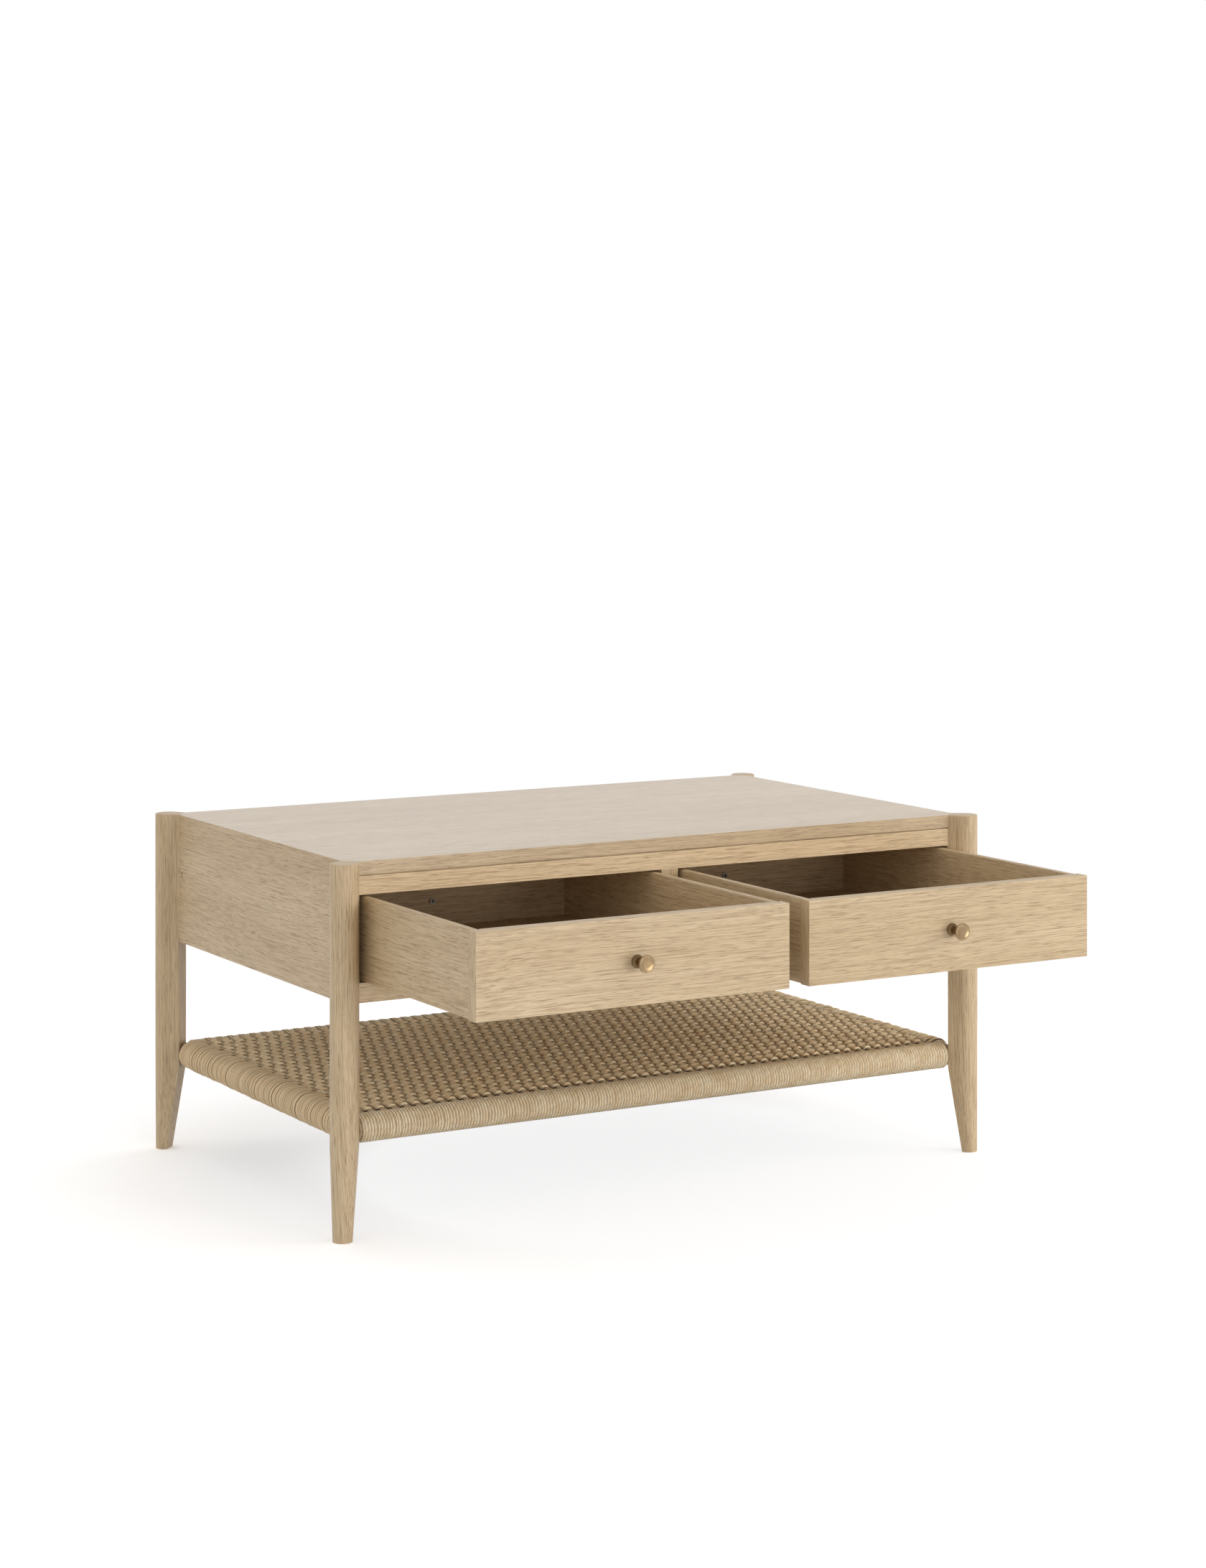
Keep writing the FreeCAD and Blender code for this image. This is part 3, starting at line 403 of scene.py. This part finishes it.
paperCord = cordMaterial("paperCord")

# close windings on the four shelf rails: one turn spun round the rod, then repeated along it
winding = {"steps": 28, "endGap": 0.0024, "wander": 0.00012, "sideWander": 0.0003, "wanderLimit": 2}


def wrapRail(name, node, axis, start, stop, wander):
    low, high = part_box(node)
    middle = (low + high) / 2
    radius = (high.z - low.z) / 2 - cord["thick"] / 2
    count = int((stop - start) / cord["pitch" if axis == "x" else "sidePitch"])
    pitch = (stop - start) / count
    lengthwise = 0 if axis == "x" else 1
    along = Vector((1, 0, 0)) if axis == "x" else Vector((0, 1, 0))
    centre = middle.copy()
    centre[lengthwise] = start + pitch / 2
    sides, steps = cord["sides"], winding["steps"]
    bm = bmesh.new()
    upright = Matrix.Rotation(math.radians(90), 4, "X")
    made = bmesh.ops.create_circle(bm, segments=sides, radius=1.0, matrix=upright)
    bmesh.ops.scale(bm, vec=(cord["width"] / 2, 1, cord["thick"] / 2), verts=made["verts"])
    if axis == "y":
        bmesh.ops.rotate(bm, verts=made["verts"], cent=(0, 0, 0), matrix=Matrix.Rotation(math.radians(90), 3, "Z"))
    bmesh.ops.translate(bm, verts=made["verts"], vec=centre - Vector((0, 0, radius)) - along * pitch / 2)
    bmesh.ops.spin(bm, geom=bm.verts[:] + bm.edges[:], cent=centre, axis=along, angle=math.tau, steps=steps,
                   dvec=along * pitch / steps)
    bm.verts.index_update()
    lays = round(math.tau * radius / cord["lay"])
    uv = bm.loops.layers.uv.new("cordRun")
    for face in bm.faces:
        places = [loop.vert.index % sides for loop in face.loops]
        closing = max(places) - min(places) > 1
        for loop, place in zip(face.loops, places):
            across = place + sides if closing and place == 0 else place
            loop[uv].uv = (loop.vert.index // sides / steps * lays, across / sides)
    bmesh.ops.recalc_face_normals(bm, faces=bm.faces[:])
    turn = finished(name, bm, paperCord)
    repeat = turn.modifiers.new("windings", "ARRAY")
    repeat.use_relative_offset = False
    repeat.use_constant_offset = True
    repeat.constant_offset_displace = along * pitch
    repeat.count = count
    view = bpy.context.evaluated_depsgraph_get()
    whole = bpy.data.meshes.new_from_object(turn.evaluated_get(view))
    turn.modifiers.clear()
    turn.data = whole
    # each turn lies a little differently and starts its twist elsewhere
    luck = np.random.default_rng(len(name))
    points = np.zeros(len(whole.vertices) * 3)
    whole.vertices.foreach_get("co", points)
    points = points.reshape(count, -1, 3)
    limit = winding["wanderLimit"] * wander
    points[:, :, lengthwise] += luck.normal(0, wander, (count, 1)).clip(-limit, limit)
    whole.vertices.foreach_set("co", points.ravel())
    layer = whole.uv_layers[0]
    spots = np.zeros(len(layer.uv) * 2)
    layer.uv.foreach_get("vector", spots)
    spots = spots.reshape(count, -1, 2)
    spots[:, :, 0] += luck.random((count, 1))
    layer.uv.foreach_set("vector", spots.ravel())
    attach(turn, "table")
    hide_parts(node)
    return start, pitch, count


firstLeg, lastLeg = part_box("front_left_leg")[1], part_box("rear_right_leg")[0]
gap = winding["endGap"]
wraps = {}
for end in ("front", "rear"):
    wraps[end] = wrapRail(end + "RailWindings", end + "_rail_wrap", "x",
                          firstLeg.x + gap, lastLeg.x - gap, winding["wander"])
for end in ("left", "right"):
    wraps[end] = wrapRail(end + "RailWindings", end + "_rail_wrap", "y",
                          firstLeg.y + gap, lastLeg.y - gap, winding["sideWander"])
print("windings:", {end: made[2] for end, made in wraps.items()})

# woven field: warp pairs run from front to rear, weft groups from side to side, under and over all pairs in turn
weave = {
    "warpRadius": 0.00145, "weftRadius": 0.0020, "rowPitch": 0.0415, "rise": 0.0010, "fullness": 0.3,
    "bulge": 0.0024, "sag": -0.0014, "flat": -0.0024, "warpStep": 0.0026, "weftStep": 0.0022,
    "pairEvery": 4, "pairTurns": (1, 2), "pairGap": 0.00002, "touchGap": 0.0001, "warpReach": 0.4165,
    "groupSize": 5, "groupSpacing": 0.00415, "railSpacing": 0.00415, "lowCords": (1, 2),
    "over": 0.0012, "bundle": 0.0014, "slant": 0.006, "tuckAngle": 175.0, "tuckSteps": 14,
    "warpStart": 0.003, "leaveFrom": 0.004, "arriveBy": 0.002, "levelRun": 0.018,
    "closeFrom": 0.004, "closeRun": 0.02, "settleFrom": 0.003, "settleRun": 0.02,
    "wander": 0.00018, "railWander": 0.00028, "warpSways": 12, "weftSways": 16,
    "warpPieces": ("warpLeft", "warpRight"),
    "weftPieces": ("weftFront", "weftFrontMiddle", "weftRearMiddle", "weftRear"),
}
luck = np.random.default_rng(7)


def cordMesh(name, paths, radius, material):
    bm = bmesh.new()
    for path in paths:
        curve = bpy.data.curves.new(name, "CURVE")
        curve.dimensions = "3D"
        curve.bevel_depth = radius
        curve.bevel_resolution = 1
        curve.use_fill_caps = True
        spline = curve.splines.new("POLY")
        spline.points.add(len(path) - 1)
        spline.points.foreach_set("co", np.column_stack([path, np.ones(len(path))]).ravel())
        holder = bpy.data.objects.new(name, curve)
        mesh = bpy.data.meshes.new_from_object(holder)
        # the cord's own map: lays along it from a chance start, turns round it
        length = np.linalg.norm(np.diff(path, axis=0), axis=1).sum()
        layer = mesh.uv_layers[0]
        spots = np.zeros(len(layer.uv) * 2)
        layer.uv.foreach_get("vector", spots)
        spots = spots.reshape(-1, 2)[:, ::-1] * (length / cord["lay"], 1.0) + (luck.random(), 0.0)
        layer.uv.foreach_set("vector", spots.ravel())
        bm.from_mesh(mesh)
        bpy.data.objects.remove(holder)
        bpy.data.meshes.remove(mesh)
        bpy.data.curves.remove(curve)
    piece = finished(name, bm, material)
    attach(piece, "table")
    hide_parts("woven_field")
    return len(piece.data.polygons)


fieldLow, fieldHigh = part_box("woven_field")
frontLow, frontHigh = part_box("front_rail_wrap")
leftLow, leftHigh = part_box("left_rail_wrap")
axisLevel = (frontLow.z + frontHigh.z) / 2
woundRadius = frontHigh.z - axisLevel - cord["thick"] / 2
middleLevel = (fieldLow.z + fieldHigh.z) / 2
frontLine = (frontLow.y + frontHigh.y) / 2
leftLine = (leftLow.x + leftHigh.x) / 2
fieldMiddle = (fieldLow.y + fieldHigh.y) / 2
rearLine = 2 * fieldMiddle - frontLine
rightLine = -leftLine


def smooth(value):
    value = np.clip(value, 0, 1)
    return value * value * (3 - 2 * value)


def warpLevel(y):
    wave = np.cos(2 * np.pi * (y - fieldMiddle) / weave["rowPitch"])
    return middleLevel + weave["rise"] * (wave + weave["fullness"] * (1 - wave * wave))


def tuck(line, outward, radius):
    # from the top of a rail over its outer side to its underside
    angle = np.radians(90 - np.linspace(0, weave["tuckAngle"], weave["tuckSteps"])[1:])
    return line + outward * radius * np.cos(angle), axisLevel + radius * np.sin(angle)


def warpPath(x):
    overRadius = woundRadius + weave["over"]
    y = np.arange(frontLine - weave["warpStart"], rearLine, weave["warpStep"])
    leave = smooth((y - frontLine - weave["leaveFrom"]) / weave["levelRun"])
    arrive = smooth((rearLine - weave["arriveBy"] - y) / weave["levelRun"])
    level = warpLevel(y) * arrive + (axisLevel + overRadius) * (1 - arrive)
    level = level * leave + (axisLevel + woundRadius) * (1 - leave)
    endY, endLevel = tuck(rearLine, 1, overRadius)
    y, level = np.append(y, endY), np.append(level, endLevel)
    stations = np.linspace(frontLine, rearLine, weave["warpSways"])
    sway = np.interp(y, stations, luck.normal(0, weave["wander"], weave["warpSways"]))
    # the two cords of a pair lie side by side between the rails
    close = smooth((y - frontLine - weave["closeFrom"]) / weave["closeRun"])
    close = close * smooth((rearLine - weave["closeFrom"] - y) / weave["closeRun"])
    middle = pairLine + round((x - pairLine) / pairPitch) * pairPitch
    apart = 1 - close * (1 - (weave["warpRadius"] + weave["pairGap"]) / abs(x - middle))
    return np.column_stack([middle + (x - middle) * apart + sway * close, y, level])


def weftPath(line, offset, over, flat=False):
    y = line + offset * weave["groupSpacing"]
    railY = line + offset * weave["railSpacing"] + luck.normal(0, weave["railWander"])
    half = (weave["groupSize"] - 1) / 2
    leftRadius = woundRadius + weave["over"] + luck.normal(0, weave["railWander"])
    rightRadius = leftRadius + weave["bundle"] * (1 - (offset / half) ** 2)
    x = np.arange(leftLine, rightLine, weave["weftStep"])
    settle = smooth((x - leftLine - weave["settleFrom"]) / weave["settleRun"])
    settle = settle * smooth((rightLine - weave["settleFrom"] - x) / weave["settleRun"])
    if flat:
        wave = middleLevel + weave["flat"]
    else:
        touch = weave["warpRadius"] + weave["weftRadius"] + weave["touchGap"]
        crossing = warpLevel(y) + (touch if over else -touch)
        between = middleLevel + weave["sag" if over else "bulge"]
        swing = np.cos(2 * np.pi * (x - pairLine) / pairPitch)
        wave = (crossing + between) / 2 + (crossing - between) / 2 * swing
    level = wave * settle + (axisLevel + np.where(x < 0, leftRadius, rightRadius)) * (1 - settle)
    leftX, leftLevel = tuck(leftLine, -1, leftRadius)
    rightX, rightLevel = tuck(rightLine, 1, rightRadius)
    along = np.concatenate([leftX[::-1], x, rightX])
    level = np.concatenate([leftLevel[::-1], level, rightLevel])
    inner = np.concatenate([np.zeros(len(leftX)), settle, np.zeros(len(rightX))])
    slant = np.linspace(0, weave["slant"], weave["tuckSteps"])[1:]
    lean = np.concatenate([slant[::-1], np.zeros(len(x)), slant])
    stations = np.linspace(leftLine, rightLine, weave["weftSways"])
    sway = np.interp(along, stations, luck.normal(0, weave["wander"], weave["weftSways"]))
    return np.column_stack([along, y * inner + railY * (1 - inner) + sway + lean, level])


start, pitch, count = wraps["front"]
pairPitch = weave["pairEvery"] * pitch
turns = [start + pitch * (turn + 0.5) for turn in range(count) if turn % weave["pairEvery"] in weave["pairTurns"]]
pairLine = (turns[0] + turns[1]) / 2
warps = [warpPath(x) for x in turns if abs(x) < weave["warpReach"]]
rowStep = weave["rowPitch"] / 2
rows = int((fieldMiddle - frontLine) / rowStep) - 1
wefts = []
for row in range(-rows, rows + 1):
    for place in range(weave["groupSize"]):
        wefts.append(weftPath(fieldMiddle + row * rowStep, place - (weave["groupSize"] - 1) / 2, row % 2 == 1))
# low cords close the strip beside the front and the rear rail
for end in (-1, 1):
    for place in weave["lowCords"]:
        wefts.append(weftPath(fieldMiddle + end * (rows + 1) * rowStep, -end * place, False, True))
warpCord = cordMaterial("warpCord", True, (pairLine, pairPitch))
weftCord = cordMaterial("weftCord", True)
faces = []
for names, paths, radius, material in (
        (weave["warpPieces"], warps, weave["warpRadius"], warpCord),
        (weave["weftPieces"], wefts, weave["weftRadius"], weftCord)):
    share = len(paths) // len(names)
    for place, name in enumerate(names):
        stop = (place + 1) * share if place + 1 < len(names) else None
        faces.append(cordMesh(name, paths[place * share:stop], radius, material))
print("weave:", len(warps), "warp cords,", len(wefts), "weft cords,", max(faces) * 2, "triangles in the largest")

# floor, soft light, camera
studio = {
    "floorSize": 40.0, "floorWhite": 0.8, "floorRoughness": 0.9, "floorSpecular": 0.1,
    "shadowFrom": (0.05, 0, 0), "shadowSpan": (0.38, 0.66), "shadowShare": (0.15, 0.95), "shadowLift": 1.5,
    "fadeFrom": 0.85, "fadeTo": 1.5,
    "wallLight": 1.64, "skyLight": 0.68, "wallFoot": 0.05, "wallHeight": 0.5, "aim": Vector((0, 0.05, 0.25)),
    "white": (1, 1, 1, 1),
}
# the key lamp leaves no glare on the table top
lamps = {
    "keyLamp": {"power": 40.0, "size": 2.0, "place": (3.0, -1.9, 1.9), "mirrored": False},
    "fillLamp": {"power": 36.0, "size": 1.5, "place": (1.0, -4.3, 0.5), "mirrored": True},
}
for name, made in lamps.items():
    lamp = bpy.data.lights.new(name, "AREA")
    lamp.energy = made["power"]
    lamp.shape = "DISK"
    lamp.size = made["size"]
    holder = bpy.data.objects.new(name, lamp)
    holder.visible_glossy = made["mirrored"]
    holder.location = made["place"]
    holder.rotation_euler = (studio["aim"] - Vector(made["place"])).to_track_quat("-Z", "Y").to_euler()
    bpy.context.scene.collection.objects.link(holder)


def seenRay(tree):
    rays = addNode(tree, "ShaderNodeLightPath")
    seen = mathStep(tree, "MAXIMUM", rays.outputs["Is Camera Ray"], rays.outputs["Is Glossy Ray"])
    return mathStep(tree, "MAXIMUM", seen, rays.outputs["Is Transmission Ray"])


world = bpy.data.worlds.new("studioWhite")
bpy.context.scene.world = world
world.use_nodes = True
worldTree = world.node_tree
worldTree.nodes.clear()
# the room lights the table mostly from its pale walls, little from above
direction = addNode(worldTree, "ShaderNodeTexCoord").outputs["Generated"]
upward = addNode(worldTree, "ShaderNodeSeparateXYZ", {0: direction}).outputs["Z"]
room = span(worldTree, upward, studio["wallFoot"], studio["wallHeight"], studio["wallLight"], studio["skyLight"])
dim = addNode(worldTree, "ShaderNodeBackground", {"Color": studio["white"], "Strength": room})
white = addNode(worldTree, "ShaderNodeBackground", {"Color": studio["white"], "Strength": 1.0})
both = addNode(worldTree, "ShaderNodeMixShader", {0: seenRay(worldTree), 1: dim.outputs[0], 2: white.outputs[0]})
addNode(worldTree, "ShaderNodeOutputWorld", {"Surface": both.outputs[0]})

bm = bmesh.new()
bmesh.ops.create_grid(bm, x_segments=1, y_segments=1, size=studio["floorSize"] / 2)
floorMaterial, floorTree, floorShader = newMaterial("studioFloor")
floorShader.inputs["Base Color"].default_value = shaded(studio["white"], studio["floorWhite"])
floorShader.inputs["Roughness"].default_value = studio["floorRoughness"]
floorShader.inputs["Specular IOR Level"].default_value = studio["floorSpecular"]
# white as far as the eye goes, with the shadow round the table
place = addNode(floorTree, "ShaderNodeTexCoord").outputs["Object"]
away = addNode(floorTree, "ShaderNodeVectorMath", {0: place}, operation="LENGTH").outputs["Value"]
outward = vectorStep(floorTree, "DISTANCE", place, studio["shadowFrom"])
share = span(floorTree, outward, *studio["shadowSpan"], *studio["shadowShare"])
near = span(floorTree, away, studio["fadeFrom"], studio["fadeTo"], 1.0, 0.0)
bare = mathStep(floorTree, "SUBTRACT", 1.0, mathStep(floorTree, "MULTIPLY", share, near))
chalk = addNode(floorTree, "ShaderNodeBsdfDiffuse", {"Color": shaded(studio["white"], studio["shadowLift"])})
glow = addNode(floorTree, "ShaderNodeEmission", {"Color": studio["white"], "Strength": 1.0})
shown = addNode(floorTree, "ShaderNodeMixShader", {0: bare, 1: chalk.outputs[0], 2: glow.outputs[0]})
mixed = addNode(floorTree, "ShaderNodeMixShader", {
    0: seenRay(floorTree), 1: floorShader.outputs[0], 2: shown.outputs[0]})
floorTree.links.new(mixed.outputs[0], floorTree.nodes["Material Output"].inputs["Surface"])
floor = finished("studioFloor", bm, floorMaterial)

shot = {
    "place": (-2.0591, -3.50304, 0.98), "turn": (math.radians(90), 0, math.radians(-30.11)),
    "lens": 71.654, "sensor": 36.0, "shiftY": -0.23274, "clipEnd": 60,
}
camera = bpy.data.objects.new("photoCamera", bpy.data.cameras.new("photoCamera"))
camera.location = shot["place"]
camera.rotation_euler = shot["turn"]
camera.data.lens = shot["lens"]
camera.data.sensor_width = shot["sensor"]
camera.data.shift_y = shot["shiftY"]
camera.data.clip_end = shot["clipEnd"]
bpy.context.scene.collection.objects.link(camera)
bpy.context.scene.camera = camera
bpy.context.scene.view_settings.view_transform = "Standard"
print("studio: floor, lamps and camera")
